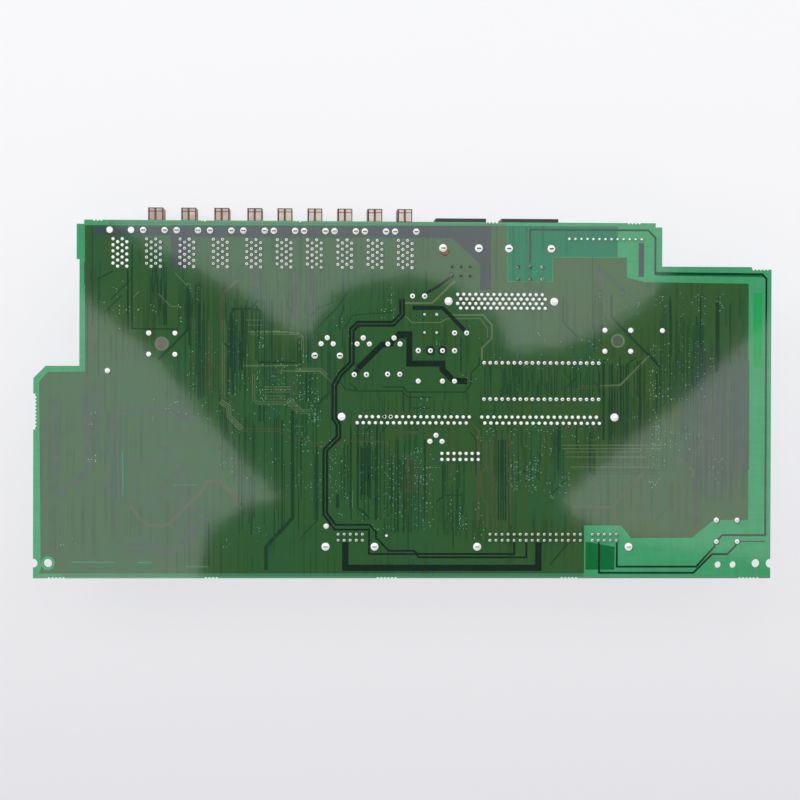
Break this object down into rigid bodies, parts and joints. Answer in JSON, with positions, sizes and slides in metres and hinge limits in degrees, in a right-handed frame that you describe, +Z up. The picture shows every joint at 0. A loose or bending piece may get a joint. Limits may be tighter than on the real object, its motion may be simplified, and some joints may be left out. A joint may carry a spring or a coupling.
{
  "type": "printed circuit board assembly",
  "caption": "Green multilayer control circuit board, lying component side down, with shielded signal and power connectors along one edge.",
  "frame": {"origin": "centre of the bounding box on the surface that the tall parts stand on", "axes": "+Z up out of the solder side, +X along the board's long edge, +Y towards the edge with the signal connectors"},
  "size_m": [0.3094, 0.1554, 0.0279],
  "materials": {
    "laminate": "green solder mask, glossy",
    "masked_copper": "copper under green solder mask",
    "solder": "bright tin-lead solder",
    "tinned_shell": "tin-plated sheet",
    "tinned_lead": "tinned",
    "plated_contact": "thin gold plate",
    "cream_plastic": "moulded",
    "zinc_steel": "zinc plated",
    "can_sleeve": "heat-shrunk sleeve",
    "film_box": "moulded",
    "black_aluminium": "black anodised",
    "blue_plastic": "moulded",
    "black_plastic": "moulded, slightly rough"
  },
  "bodies": {
    "root": {"board": "laminate", "heavy_tracks": "masked_copper", "solder_signal": "solder", "solder_unfitted": "solder", "solder_sockets": "solder", "solder_lugs": "solder", "solder_parts": "solder", "signal_contacts": "plated_contact", "power_housing_1": "black_plastic", "power_housing_2": "black_plastic", "power_tabs_1": "tinned_lead", "power_tabs_2": "tinned_lead", "strip_base": "black_plastic", "strip_contacts": "plated_contact", "stack_housing": "black_plastic", "stack_contacts": "plated_contact", "module_socket": "cream_plastic", "module_contacts": "plated_contact", "module_latches": "tinned_lead", "dip_package": "black_plastic", "dip_leads": "tinned_lead", "mid_header_base": "black_plastic", "mid_header_pins": "plated_contact", "edge_header_1": "black_plastic", "edge_header_2": "black_plastic", "edge_pins_1": "plated_contact", "edge_pins_2": "plated_contact", "spacers": "zinc_steel", "capacitor_cans": "can_sleeve", "capacitor_leads": "tinned_lead", "film_capacitors": "film_box", "choke": "black_plastic", "heat_sink": "black_aluminium", "power_transistors": "black_plastic", "trimmer": "blue_plastic", "test_posts": "tinned_lead", "sounder": "black_plastic", "chip_packages": "black_plastic", "chip_leads": "tinned_lead", "signal_shell_1": "tinned_shell", "signal_shell_2": "tinned_shell", "signal_shell_3": "tinned_shell", "signal_shell_4": "tinned_shell", "signal_shell_5": "tinned_shell", "signal_shell_6": "tinned_shell", "signal_shell_7": "tinned_shell", "signal_shell_8": "tinned_shell", "signal_shell_9": "tinned_shell", "signal_body_1": "black_plastic", "signal_body_2": "black_plastic", "signal_body_3": "black_plastic", "signal_body_4": "black_plastic", "signal_body_5": "black_plastic", "signal_body_6": "black_plastic", "signal_body_7": "black_plastic", "signal_body_8": "black_plastic", "signal_body_9": "black_plastic"}
  },
  "joints": []
}
